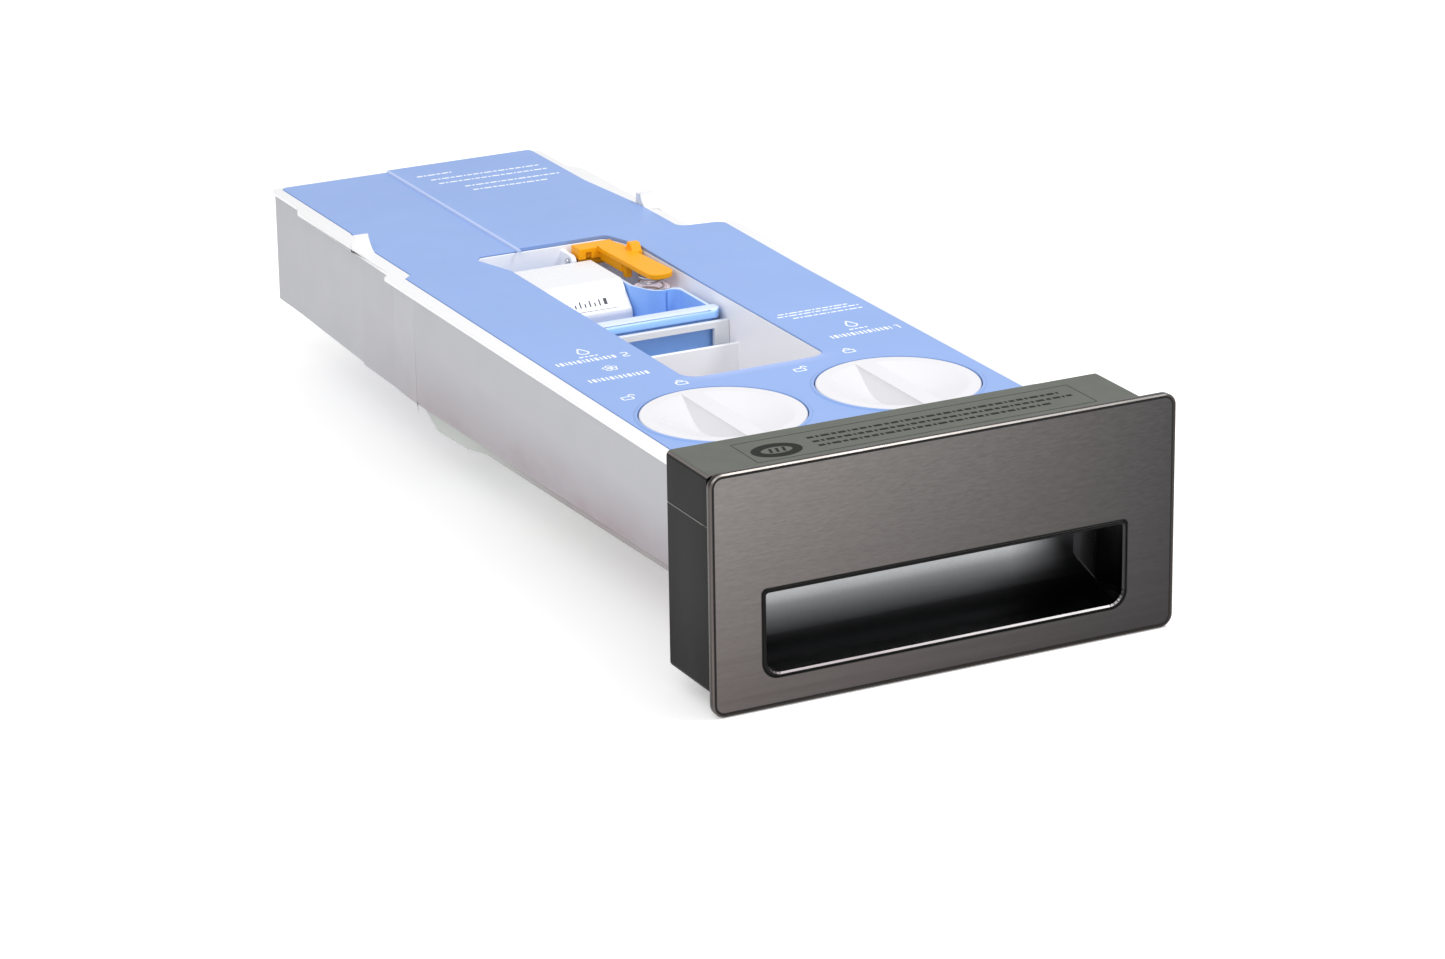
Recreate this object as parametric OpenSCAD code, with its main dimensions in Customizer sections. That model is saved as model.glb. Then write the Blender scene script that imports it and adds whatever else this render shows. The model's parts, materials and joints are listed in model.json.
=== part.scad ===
// Detergent dispenser drawer of a front load washing machine.
// X runs to the right, Y runs from the front panel to the rear, Z runs up.
// The modules are written with Y measured from the panel's front face;
// placed() then moves them so that the origin is the bottom centre of the whole drawer.

/* [Front panel] */
// Width of the front panel
panel_w = 230; // [222:1:240]
// Height of the front panel
panel_h = 110; // [106:1:120]
// Depth of the plate behind the steel skin
plate_d = 4; // [3.5:0.5:6]
// Radius of the panel's corners
panel_r = 6; // [3:0.5:10]
// Width of the raised rim round the skin
rim_w = 1.4; // [1:0.1:2]
// Thickness of the steel skin
skin_t = 0.8; // [0.6:0.1:1]

/* [Handle pocket] */
// Width of the pocket's mouth, outside its lip
mouth_w = 181.6; // [160:0.2:190]
// Height of the pocket's mouth, outside its lip
mouth_h = 41.2; // [36:0.2:46]
// Height of the mouth's lower edge above the panel's bottom
mouth_z = 13.6; // [10:0.2:18]
// Width of the rolled lip
lip_w = 2; // [1.5:0.1:3]
// Depth of the pocket behind the panel's face
pocket_d = 33; // [25:1:34]
// Wall of the pocket
pocket_t = 2; // [1.5:0.1:2.5]

/* [Housing behind the panel] */
// Depth of the housing
housing_d = 38.4; // [37:0.2:45]
// Wall of the housing
housing_t = 2.5; // [2:0.1:3]
// Height of the seam between its lower and upper piece
seam_z = 86; // [80:1:90]

/* [Tray] */
// Height of the tray's underside at the rear
tray_z = 36; // [35:0.5:38]
// Rise of the underside from there to the housing
tray_rise = 7; // [4:0.5:8]
// Height of the tray's rim
rim_z = 94.5; // [92:0.5:98]
// Distance from the panel's face to the tray's rear wall
tray_end = 550; // [530:1:570]
// Wall of the tray
wall = 2.4; // [2:0.1:3]
// Height of the ramps that stop the drawer at full travel
ramp_h = 6.8; // [4:0.2:8]
// Depth of the flush channel under the tray, at its deepest
pan_h = 8.4; // [7:0.2:9]

/* [Middle well] */
// Left side of the well
well_x0 = -43.7; // [-46:0.1:-42]
// Right side of the well
well_x1 = 28.6; // [27:0.1:31]
// Front of the well
well_y0 = 164; // [160:1:168]
// Rear of the well
well_y1 = 385; // [382:1:388]
// Height of the low dam in front of the cup
dam_z = 75; // [70:0.5:78]

/* [Filler caps] */
// Radius of a cap
cap_r = 37.8; // [36:0.1:38]
// Middle of both caps, measured from the panel's face
cap_y = 110.7; // [108:0.1:113]
// Middle of the left cap across the drawer
cap_left_x = -52.5; // [-53:0.1:-52]
// Middle of the right cap across the drawer
cap_right_x = 36.5; // [36:0.1:38]
// Depth of the finger dishes beside a cap's grip
dish_depth = 8; // [6:0.2:8.4]

/* [Outlet spigots] */
// Radius of a spigot's nozzle
nozzle_r = 8; // [7:0.1:9]
// Length of a spigot's nozzle
nozzle_l = 11; // [9:0.5:14]
// Height of the spigots
spigot_z = 53; // [52:0.5:58]
// Middle of the left spigot across the drawer
spigot_left_x = -60; // [-66:1:-56]
// Middle of the right spigot across the drawer
spigot_right_x = 20; // [12:1:26]

/* [Release lever] */
// Height of the lever's pivot
pivot_z = 88; // [87.6:0.2:89]
// Distance from the panel's face to the lever's pivot
pivot_y = 376.6; // [376:0.2:377]
// Thickness of the lever's tab
tab_t = 2.6; // [2:0.1:4]

/* [Hidden] */

$fn = 64;
eps = 0.01;          // overlap that joins or cuts cleanly
gap = 0.3;           // room between neighbouring pieces
arc_steps = 6;       // straight steps in a rounded corner
screw_r = 1.9;       // radius of a screw's shank
head_r = 3.6;        // radius of a screw's head
head_h = 2.4;        // height of a screw's head
screw_deep = 9;      // length of a panel screw in the tray
pin_r = 1.5;         // radius of every pivot pin
pin_play = 0.06;     // radial room round a pin or stem

// Colours
rim_white = [0.93, 0.93, 0.94];
steel_dark = [0.36, 0.34, 0.33];
panel_black = [0.16, 0.16, 0.15];
housing_olive = [0.42, 0.43, 0.39];
tray_grey = [0.80, 0.80, 0.82];
pan_green = [0.68, 0.73, 0.71];
cover_blue = [0.62, 0.72, 0.93];
cup_blue = [0.38, 0.56, 0.90];
plain_white = [0.96, 0.96, 0.97];
lever_orange = [0.98, 0.65, 0.12];
rubber_grey = [0.30, 0.31, 0.33];
bright_steel = [0.75, 0.76, 0.78];

// Levels and depths that follow from the driving sizes
plate_y = plate_d;
body_y = plate_d + housing_d;
overall_l = tray_end - 1 + 2.5 + nozzle_l;
housing_x0 = -panel_w / 2 + 0.4;
housing_x1 = 100.6;
housing_z0 = 10;
housing_z1 = panel_h - 0.7;
floor_z = tray_z + wall;
front_split_x = -8;
rear_split_x = -27.6;
rim_t = 2.2;
cover_t = 2.5;
cover_z = rim_z - rim_t;
cover_top = cover_z + cover_t;
well_lip = 0.9;
well_top = cover_top - well_lip - 0.1;
ledge_z = cover_z - 4;
wall_in = 1;
low_r = 5;
slope_y = 345;
slope_turn = atan(tray_rise / (slope_y - body_y));
shoulder_y = 381;
tail_y = 507;
dam_y = 254;
pad_h = 1.2;

// Widths of the tray at its rim, from front to rear
front_left = -102;
front_right = 91;
mid_left = -97.5;
mid_right = 67.5;
rear_left = -96;
rear_right = 66;
tail_left = -92.5;
tail_right = 61;

// Cup and insert
cup_x0 = well_x0 + 0.9;
cup_x1 = 25;
cup_y0 = 268;
cup_y1 = 370.6;
cup_step_x = 6.4;
cup_step_y = 313;
cup_z0 = 46;
cup_z1 = 88.5;
cup_t = 1.8;
insert_x1 = cup_step_x - cup_t - 0.6;
insert_top = 90.5;
insert_fold_y = 331;
insert_front_y = 319;

// Flush channel: its sides and wall
pan_x0 = front_left + wall_in + low_r;
pan_x1 = front_right - wall_in - low_r;
pan_t = 1.6;

// Pocket ears and their screws
pocket_screw_xs = [-60, 60];
pocket_screw_z = 61;
ear_y = plate_d + 4.2;
ear_t = 2.4;

// Cap: its top and the cone shaped dish that leaves the grip standing
cap_seat = cover_z - 0.5;
seal_t = 0.7;
cap_base = cap_seat + seal_t;
cap_top = cap_base + 2.8;
neck_r = cap_r + 1.7;
dish_r = 33;
grip_top = 4.6;
grip_low = 10.6;

// Lever: underside of its tab, its tip and the return spring below it
tab_z0 = pivot_z + 4.3;
tip_y = 313.6;
spring_x = 17.4;
spring_y = 325.5;
spring_z = floor_z + 0.7;

// Spigot and valve stations along Y
spigot_y = tray_end - 1;
flange_t = 2.5;
stub_r = nozzle_r + 1.2;
stub_end = spigot_y + flange_t + 2.4;
nozzle_end = spigot_y + flange_t + nozzle_l;
seat_y = nozzle_end - 4;
poppet_r = nozzle_r - 2.4;
poppet_y0 = seat_y - 4.5;
poppet_y1 = seat_y - 2;
guide_y = spigot_y - 6;

// Floats
float_pivot_y = 531;
float_pivot_z = 68;
float_arm = 38;
float_x_left = -60;
float_x_right = 20;

// ---------- shared shapes ----------

module placed() translate([0, -overall_l / 2, 0]) children();

module block(x0, x1, y0, y1, z0, z1)
    translate([x0, y0, z0]) cube([x1 - x0, y1 - y0, z1 - z0]);

// Upright prism of an outline in X and Y
module slab(outline, z0, z1)
    translate([0, 0, z0]) linear_extrude(z1 - z0) polygon(outline);

// Prism along X of an outline in Y and Z
module across(outline, x0, x1)
    translate([x0, 0, 0]) rotate([90, 0, 90]) linear_extrude(x1 - x0) polygon(outline);

// Prism along Y of an outline in X and Z
module along(outline, y0, y1)
    translate([0, y1, 0]) rotate([90, 0, 0]) linear_extrude(y1 - y0) polygon(outline);

module rod_x(x0, x1, y, z, r)
    translate([x0, y, z]) rotate([0, 90, 0]) cylinder(h = x1 - x0, r = r);

module rod_y(x, y0, y1, z, r)
    translate([x, y0, z]) rotate([-90, 0, 0]) cylinder(h = y1 - y0, r = r);

module rod_z(x, y, z0, z1, r)
    translate([x, y, z0]) cylinder(h = z1 - z0, r = r);

function unit(v) = v / norm(v);

// Points that round corner b between neighbours a and c
function corner(a, b, c, r) =
    r <= 0 ? [b] :
    let (u = unit(a - b),
         v = unit(c - b),
         half = acos(u * v) / 2,
         centre = b + unit(u + v) * (r / sin(half)),
         start = b + u * (r / tan(half)) - centre,
         from = atan2(start.y, start.x),
         turn = (180 - 2 * half) * (u.x * v.y - u.y * v.x > 0 ? -1 : 1))
    [for (i = [0 : arc_steps]) centre + r * [cos(from + turn * i / arc_steps),
                                             sin(from + turn * i / arc_steps)]];

// Outline through points [x, y, radius]
function rounded(points) =
    [for (i = [0 : len(points) - 1])
        let (p = points[i],
             before = points[(i + len(points) - 1) % len(points)],
             after = points[(i + 1) % len(points)])
        each corner([before.x, before.y], [p.x, p.y], [after.x, after.y], p[2])];

function round_box(x0, x1, z0, z1, low_r, top_r) =
    rounded([[x0, z0, low_r], [x1, z0, low_r], [x1, z1, top_r], [x0, z1, top_r]]);

function arc(cx, cy, r, from, to, steps) =
    [for (i = [0 : steps]) [cx + r * cos(from + (to - from) * i / steps),
                            cy + r * sin(from + (to - from) * i / steps)]];

// ---------- front panel ----------

function mouth(inset) =
    round_box(-mouth_w / 2 + inset, mouth_w / 2 - inset, mouth_z + inset,
              mouth_z + mouth_h - inset, 8 - inset / 2, 2.4 - inset / 2);

function panel_outline(inset) =
    round_box(-panel_w / 2 + inset, panel_w / 2 - inset, inset, panel_h - inset,
              panel_r - inset, panel_r - inset);

module panel_skin()
    color(steel_dark) placed() difference() {
        along(panel_outline(rim_w + 0.15), 0.4, 0.4 + skin_t);
        along(mouth(-gap), 0, plate_d);
    }

module panel_frame()
    color(panel_black) placed() difference() {
        union() {
            along(panel_outline(0), 0, plate_d);
            for (x = pocket_screw_xs)
                rod_y(x, plate_d - 1, ear_y, pocket_screw_z, 4.5);
        }
        along(panel_outline(rim_w), -1, 0.4 + skin_t);
        along(mouth(-gap), -1, plate_d + 1);
        for (x = pocket_screw_xs)
            rod_y(x, 2.2, ear_y + 1, pocket_screw_z, screw_r + pin_play);
    }

// Section of the pocket: upright back wall that curves down into the floor
function pocket_section(grow) =
    let (top = mouth_z + mouth_h - lip_w + grow,
         low = mouth_z + lip_w - grow,
         back = pocket_d + grow,
         sweep = 24 + grow)
    concat([[-1, low]],
           arc(back - sweep, low + sweep, sweep, -90, 0, 12),
           arc(back - 3 - grow, top - 3 - grow, 3 + grow, 0, 90, 4),
           [[-1, top]]);

function pocket_plan(grow) =
    rounded([[-mouth_w / 2 + lip_w - grow, -1, 0],
             [mouth_w / 2 - lip_w + grow, -1, 0],
             [mouth_w / 2 - lip_w + grow, pocket_d + grow, 14 + grow],
             [-mouth_w / 2 + lip_w - grow, pocket_d + grow, 14 + grow]]);

module pocket_room(grow, y0)
    intersection() {
        across(pocket_section(grow), -panel_w / 2, panel_w / 2);
        slab(pocket_plan(grow), 0, panel_h);
        along(mouth(lip_w - grow), y0, pocket_d + grow + 1);
    }

module handle_pocket()
    color(panel_black) placed() difference() {
        union() {
            along(mouth(0), 0.1, plate_d);
            pocket_room(pocket_t, 0.1);
            for (x = pocket_screw_xs)
                block(x - 7, x + 7, ear_y, ear_y + ear_t, pocket_screw_z - 8, pocket_screw_z + 5);
        }
        pocket_room(0, -1);
        for (x = pocket_screw_xs)
            rod_y(x, plate_d, ear_y + ear_t + 1, pocket_screw_z, screw_r + pin_play);
    }

// Outer and inner shell of the housing, before it is split at the seam
module housing_shell()
    difference() {
        along(round_box(housing_x0, housing_x1, housing_z0, housing_z1, 2.5, 2.5),
              plate_y, body_y);
        along(round_box(housing_x0 + housing_t, housing_x1 - housing_t, housing_z0 + housing_t,
                        housing_z1 - housing_t, 1, 1),
              plate_y - 1, body_y - housing_t);
    }

function panel_screw_spots() = [[-84, 52], [73, 52], [-84, 80], [73, 80]];

module housing_base()
    color(panel_black) placed() difference() {
        intersection() {
            housing_shell();
            block(-panel_w, panel_w, 0, body_y + 1, 0, seam_z);
        }
        for (spot = panel_screw_spots())
            rod_y(spot.x, plate_y, body_y + 1, spot.y, screw_r + pin_play);
    }

module housing_cap()
    color(housing_olive) placed() intersection() {
        housing_shell();
        block(-panel_w, panel_w, 0, body_y + 1, seam_z, panel_h);
    }

module screw(x, z, head_y, tip_y, dir)
    difference() {
        union() {
            rod_y(x, min(head_y, tip_y), max(head_y, tip_y), z, screw_r);
            rod_y(x, head_y - (dir > 0 ? head_h : 0), head_y + (dir > 0 ? 0 : head_h), z, head_r);
        }
        // cross recess
        for (turn = [0, 90])
            translate([x, head_y - dir * head_h, z]) rotate([0, turn, 0])
                cube([3.6, 2.4, 0.8], center = true);
    }

module panel_screws()
    color(bright_steel) placed()
        for (spot = panel_screw_spots())
            screw(spot.x, spot.y, body_y - housing_t, body_y + screw_deep, 1);

// The pocket's screws go in from behind, through its ears into the panel frame
module pocket_screws()
    color(bright_steel) placed()
        for (x = pocket_screw_xs)
            screw(x, pocket_screw_z, ear_y + ear_t, 2.5, -1);

// ---------- tray ----------

// Outline of the rim frame
rim_outline =
    rounded([[front_left, body_y, 0],
             [front_right, body_y, 0],
             [front_right, shoulder_y, 3],
             [mid_right, shoulder_y, 2],
             [rear_right, tail_y, 6],
             [tail_right, tail_y + 8, 6],
             [tail_right, tray_end, 4],
             [tail_left, tray_end, 4],
             [tail_left, tail_y + 6, 6],
             [rear_left, tail_y - 3, 6],
             [mid_left, shoulder_y, 2],
             [front_left, shoulder_y - 3, 1]]);

// Outline of the shell's walls, moved inwards by i; the left wall tapers towards the rear
function shell_outline(i) =
    rounded([[front_left + wall_in + i, body_y, 0],
             [front_right - wall_in - i, body_y, 0],
             [front_right - wall_in - i, shoulder_y - wall_in - i, 3],
             [mid_right - wall_in - i, shoulder_y - wall_in - i, 2],
             [rear_right - wall_in - i, tail_y, 6],
             [tail_right - wall_in - i, tail_y + 8, 6],
             [tail_right - wall_in - i, tray_end - wall_in - i, 4],
             [tail_left + wall_in + i, tray_end - wall_in - i, 4],
             [tail_left + 0.6 + i, tail_y + 8, 10],
             [rear_left + 0.7 + i, 424, 1],
             [rear_left - 0.6 + i, 421.5, 1],
             [mid_left + 0.3 + i, shoulder_y - 2, 20],
             [front_left + wall_in + i, slope_y, 20]]);

// Outline of the blue cover, moved inwards by i
function cover_outline(i) =
    rounded([[-94 + i, body_y + i, 0],
             [83.5 - i, body_y + i, 0],
             [83.5 - i, shoulder_y - 3 - i, 5],
             [60 - i, shoulder_y - 0.5 - i, 5],
             [60 - i, 425, 10],
             [55 - i, 480, 10],
             [55 - i, tray_end - 2 - i, 3],
             [-87 + i, tray_end - 2 - i, 3],
             [-87 + i, 455, 10],
             [-89.5 + i, 440, 10],
             [-89.5 + i, 374, 1],
             [-94 + i, 370, 1]]);

// Outline of the middle well, grown outwards by g; its rear left corner flares out
function well_outline(g) =
    rounded([[well_x0 - g, well_y0 - g, 8 + g],
             [well_x1 + g, well_y0 - g, 8 + g],
             [well_x1 + g, 363 + g / 2, 4 + g],
             [21 + g / 2, well_y1 + g, 4 + g],
             [-47 - g / 2, well_y1 + g, 1 + g],
             [-51 - g, 380, 1 + g],
             [well_x0 - g, 356, 8]]);

// All the space over the inner floor, which follows the sloping underside
module above_floor()
    across([[body_y - 1, floor_z + tray_rise], [slope_y, floor_z], [tray_end + 1, floor_z],
            [tray_end + 1, panel_h + 20], [body_y - 1, panel_h + 20]], -150, 150);

// Room inside the tray's shell, between its walls and over its floor
module shell_room(z1)
    intersection() {
        slab(shell_outline(wall), floor_z, z1);
        block(-150, 150, body_y + wall + 1, tray_end, floor_z, z1);
        above_floor();
    }

// Section in X and Z, from the underside up, with rounded lower long edges
function hull_section() =
    rounded([[front_left + wall_in, 0, low_r], [front_right - wall_in, 0, low_r],
             [front_right - wall_in, rim_z, 0], [front_left + wall_in, rim_z, 0]]);

module hull_body()
    intersection() {
        slab(shell_outline(0), 0, cover_z);
        translate([0, slope_y, tray_z]) {
            rotate([-slope_turn, 0, 0]) along(hull_section(), body_y - slope_y - 10, 0);
            along(hull_section(), 0, tray_end - slope_y);
        }
    }

function ramp_profile() =
    concat([[430, rim_z - 0.5], [430, rim_z + ramp_h], [425.5, rim_z + ramp_h]],
           arc(426 - 11, rim_z + 10.5, 10.8, -12, -78, 6),
           [[412, rim_z - 0.5]]);

module drain_slots(z0, z1)
    for (y = [182, 206, 296, 320])
        block(-30, 14, y, y + 12, z0, z1);

// Shell of the tray: floor and outer walls
module drawer_tray()
    color(tray_grey) placed() difference() {
        hull_body();
        difference() {
            shell_room(cover_z + eps);
            float_ears();
            for (spot = panel_screw_spots())
                rod_y(spot.x, body_y, body_y + screw_deep + 2, spot.y, 4.5);
        }
        // blind holes for the panel screws, in bosses behind the front wall
        for (spot = panel_screw_spots())
            rod_y(spot.x, body_y - 1, body_y + screw_deep + 0.4, spot.y, screw_r + pin_play);
        for (x = [spigot_left_x, spigot_right_x])
            rod_y(x, tray_end - 10, tray_end + 1, spigot_z, nozzle_r + 1.1);
        for (x = [float_x_left, float_x_right])
            rod_x(x - 12, x + 12, float_pivot_y, float_pivot_z, pin_r + pin_play);
        drain_slots(tray_z - 1, floor_z + tray_rise);
    }

// Rim frame on the shell: the runners, the ledge that carries the cover, and two stop ramps
module tray_rim()
    color(rim_white) placed() difference() {
        union() {
            slab(rim_outline, cover_z, rim_z);
            intersection() {
                slab(shell_outline(wall), ledge_z, cover_z + eps);
                block(-150, 150, body_y + wall + 1, tray_end, ledge_z, cover_z + eps);
            }
            across(ramp_profile(), mid_left + 0.2, -89.5);
            across(ramp_profile(), 60, mid_right - 0.2);
        }
        slab(cover_outline(-0.25), cover_z, rim_z + 20);
        slab(cover_outline(3), ledge_z - 1, cover_z + 1);
        block(-150, 150, 0, body_y + wall + 4, ledge_z - 1, cover_z);
        // room in the ledge for the filler necks
        for (x = [cap_left_x, cap_right_x])
            rod_z(x, cap_y, ledge_z - 1, cover_z + eps, neck_r + 0.5);
        // notch behind each ramp
        block(mid_left - 1, -89.5, 430, 431.6, rim_z - 1.8, rim_z + 1);
        block(60, mid_right + 1, 430, 431.6, rim_z - 1.8, rim_z + 1);
    }

// Walls of the middle well, with the low dam and the lever's ears
module well_box()
    color(tray_grey) placed() difference() {
        intersection() {
            slab(well_outline(wall), floor_z, well_top);
            above_floor();
        }
        difference() {
            slab(well_outline(0), floor_z - 1, rim_z + 1);
            block(well_x0 - 9, well_x1 + 9, dam_y, dam_y + 2.2, 0, dam_z);
            lever_ears();
        }
        rod_x(-8, 26.5, pivot_y, pivot_z, pin_r + pin_play);
    }

// Two upright plates that part the left tank from the right one
module tank_partitions()
    color(tray_grey) placed() difference() {
        intersection() {
            union() {
                block(front_split_x - wall / 2, front_split_x + wall / 2,
                      body_y, well_y0, floor_z, cover_z);
                block(rear_split_x - wall / 2, rear_split_x + wall / 2,
                      well_y1, tray_end, floor_z, cover_z);
            }
            shell_room(cover_z);
        }
        slab(well_outline(wall), floor_z, cover_z + 1);
        // room under the rim frame's rear ledge
        block(-150, 150, tray_end - 5.2, tray_end, ledge_z, cover_z + 1);
    }

// Ears on the rear wall that carry the float pins
module float_ears()
    for (x = [float_x_left, float_x_right])
        for (side = [-9, 6.5])
            block(x + side, x + side + 2.5, float_pivot_y - 4, tray_end, float_pivot_z - 5,
                  float_pivot_z + 5);

// Ears on the well's rear wall that carry the lever's pin
module lever_ears()
    for (x = [-3.4, 22.4])
        across(rounded([[pivot_y - 4.4, pivot_z - 4, 3], [well_y1 + 1, pivot_z - 10, 0],
                        [well_y1 + 1, pivot_z + 3.4, 0], [pivot_y - 4.4, pivot_z + 3.4, 3]]),
               x, x + 2.6);

// Translucent flush channel under the tray; it deepens before its slanted outlet
function under_z(y) = tray_z + tray_rise * (slope_y - min(y, slope_y)) / (slope_y - body_y);

function pan_profile(i) =
    [[body_y + 3 + i, under_z(body_y + 3) - 4.4 + i], [276 - i, under_z(276) - 4.8 + i],
     [297, tray_z + 1.2 - pan_h + i], [332 - i / 2, tray_z - 0.1 - pan_h + i],
     [349 - i, tray_z - 1], [349 - i, tray_z], [slope_y, tray_z],
     [body_y + 3 + i, under_z(body_y + 3)]];

module bottom_pan()
    color(pan_green) placed() difference() {
        across(pan_profile(0), pan_x0, pan_x1);
        across(pan_profile(pan_t), pan_x0 + pan_t, pan_x1 - pan_t);
        // outlet slot through the slanted end
        block(-60, 40, 336, 360, tray_z - 4.6, tray_z - 2);
    }

// ---------- cover ----------

module neck(x)
    difference() {
        union() {
            rod_z(x, cap_y, 78, cap_seat, 36);
            rod_z(x, cap_y, cap_seat - 2, cover_z + eps, neck_r);
            translate([x, cap_y, cover_z]) rotate_extrude()
                polygon(concat([[cap_r + 0.5, 0], [cap_r + 2.4, 0]],
                               arc(cap_r + 1.2, cover_t - 0.6, 1.2, 0, 90, 5),
                               [[cap_r + 0.5, cover_t + 0.6]]));
        }
        rod_z(x, cap_y, 77, cover_top + 1, 34.2);
    }

module bayonet_ledge(x)
    difference() {
        rod_z(x, cap_y, 85.6, 88, 34.4);
        rod_z(x, cap_y, 85, 89, 33);
        for (turn = [45, 225])
            translate([x, cap_y, 86]) rotate(turn) block(0, 40, -9, 9, -2, 4);
    }

module top_cover()
    color(cover_blue) placed() difference() {
        union() {
            slab(cover_outline(0), cover_z, cover_top);
            for (x = [cap_left_x, cap_right_x]) neck(x);
            // raised pad over the rear right tank, with a long ramp beside the well
            intersection() {
                slab(cover_outline(0), cover_z, cover_top + 5);
                union() {
                    block(-27.5, 80, shoulder_y, tray_end, cover_z, cover_top + pad_h);
                    across([[shoulder_y + eps, cover_z], [shoulder_y + eps, cover_top + pad_h],
                            [290, cover_top], [290, cover_z]], 20, 90);
                }
            }
        }
        // thin lip over the well's walls
        slab(well_outline(wall + gap), cover_z - 1, cover_top - well_lip);
        slab(well_outline(0.2), cover_z - 1, cover_top + 10);
        for (x = [cap_left_x, cap_right_x])
            difference() {
                union() {
                    rod_z(x, cap_y, 77, cover_top + 5, 34.2);
                    rod_z(x, cap_y, cap_seat, cover_top + 5, cap_r + 0.5);
                }
                bayonet_ledge(x);
            }
    }

// ---------- caps ----------

module cap(x)
    translate([x, cap_y, 0]) difference() {
        union() {
            translate([0, 0, cap_base]) rotate_extrude()
                polygon(concat([[0, 0], [cap_r, 0]], arc(cap_r - 1, 1.8, 1, 0, 90, 4), [[0, 2.8]]));
            translate([0, 0, 80]) cylinder(h = cap_base + 1 - 80, r = 32.4);
            // bayonet lugs, parked away from the ledge's gaps
            for (turn = [0, 180])
                rotate(turn) intersection() {
                    block(0, 40, -7, 7, 82.4, 85.2);
                    cylinder(h = 100, r = 33.7);
                }
        }
        translate([0, 0, 79]) cylinder(h = 5.5, r = 30.4);
        difference() {
            translate([0, 0, cap_top]) rotate_extrude()
                polygon([[0, -dish_depth], [grip_low - 1, -dish_depth], [dish_r - 1.6, -0.5],
                         [dish_r, 0], [dish_r, 1], [0, 1]]);
            rotate([90, 0, 0]) translate([0, 0, -dish_r - 1]) linear_extrude(2 * dish_r + 2)
                polygon([[-grip_top, cap_top + 2], [grip_top, cap_top + 2], [grip_top, cap_top - 0.6],
                         [grip_low, cap_top - dish_depth - 1], [-grip_low, cap_top - dish_depth - 1],
                         [-grip_top, cap_top - 0.6]]);
        }
    }

module cap_left() color(plain_white) placed() cap(cap_left_x);
module cap_right() color(plain_white) placed() cap(cap_right_x);

module cap_seal(x)
    translate([x, cap_y, cap_seat]) rotate_extrude()
        polygon([[32.6, 0], [36.6, 0], [36.6, seal_t], [32.6, seal_t]]);

module cap_seal_left() color(rubber_grey) placed() cap_seal(cap_left_x);
module cap_seal_right() color(rubber_grey) placed() cap_seal(cap_right_x);

// ---------- floats ----------

module level_float(x)
    difference() {
        union() {
            rod_x(x - 5, x + 5, float_pivot_y, float_pivot_z, 4);
            across([[float_pivot_y - 2, float_pivot_z + 3.2], [float_pivot_y - 3.6, float_pivot_z - 1],
                    [float_pivot_y - float_arm, 50], [float_pivot_y - float_arm, 56]], x - 3, x + 3);
            slab(rounded([[x - 15, float_pivot_y - float_arm - 24, 5],
                          [x + 15, float_pivot_y - float_arm - 24, 5],
                          [x + 15, float_pivot_y - float_arm + 2, 5],
                          [x - 15, float_pivot_y - float_arm + 2, 5]]), floor_z + 2, 56);
        }
        rod_x(x - 6, x + 6, float_pivot_y, float_pivot_z, pin_r + pin_play);
        rod_z(x, float_pivot_y - float_arm - 11, 45, 57, 5.1);
    }

module float_left() color(plain_white) placed() level_float(float_x_left);
module float_right() color(plain_white) placed() level_float(float_x_right);

module float_magnet(x) rod_z(x, float_pivot_y - float_arm - 11, 45, 54, 5);

module float_magnet_left() color(rubber_grey) placed() float_magnet(float_x_left);
module float_magnet_right() color(rubber_grey) placed() float_magnet(float_x_right);

module float_pin(x) rod_x(x - 10, x + 10, float_pivot_y, float_pivot_z, pin_r);

module float_pin_left() color(bright_steel) placed() float_pin(float_x_left);
module float_pin_right() color(bright_steel) placed() float_pin(float_x_right);

// ---------- spigots and valves ----------

module spigot(x)
    difference() {
        union() {
            rod_y(x, guide_y - 2, spigot_y, spigot_z, nozzle_r + 1);
            rod_y(x, spigot_y, spigot_y + flange_t, spigot_z, 12.5);
            rod_y(x, spigot_y, stub_end, spigot_z, stub_r);
            rod_y(x, spigot_y, nozzle_end, spigot_z, nozzle_r);
        }
        rod_y(x, guide_y - 3, seat_y, spigot_z, nozzle_r - 1.8);
        rod_y(x, seat_y - 1, nozzle_end + 1, spigot_z, nozzle_r - 3.8);
    }

module spigot_left() color(plain_white) placed() spigot(spigot_left_x);
module spigot_right() color(plain_white) placed() spigot(spigot_right_x);

module spigot_seal(x)
    translate([x, spigot_y + flange_t + 1.1, spigot_z]) rotate([90, 0, 0]) rotate_extrude()
        translate([stub_r + 1.05, 0]) circle(r = 1, $fn = 24);

module spigot_seal_left() color(rubber_grey) placed() spigot_seal(spigot_left_x);
module spigot_seal_right() color(rubber_grey) placed() spigot_seal(spigot_right_x);

module poppet(x)
    union() {
        rod_y(x, poppet_y0, poppet_y1, spigot_z, poppet_r);
        rod_y(x, guide_y - 3, poppet_y0 + eps, spigot_z, pin_r);
        rod_y(x, poppet_y1 - eps, nozzle_end - 0.5, spigot_z, 2.4);
    }

module poppet_left() color(cup_blue) placed() poppet(spigot_left_x);
module poppet_right() color(cup_blue) placed() poppet(spigot_right_x);

module poppet_seal(x)
    difference() {
        rod_y(x, poppet_y1, seat_y - 0.05, spigot_z, poppet_r - 0.2);
        rod_y(x, poppet_y1 - 1, seat_y + 1, spigot_z, 2.4);
    }

module poppet_seal_left() color(rubber_grey) placed() poppet_seal(spigot_left_x);
module poppet_seal_right() color(rubber_grey) placed() poppet_seal(spigot_right_x);

// Spring drawn as a stack of rings, each touching the next
module ring_stack(r, wire_r, length, turns)
    for (i = [0 : turns - 1])
        translate([0, 0, wire_r + i * (length - 2 * wire_r) / (turns - 1)])
            rotate_extrude() translate([r, 0]) circle(r = wire_r, $fn = 16);

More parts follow.
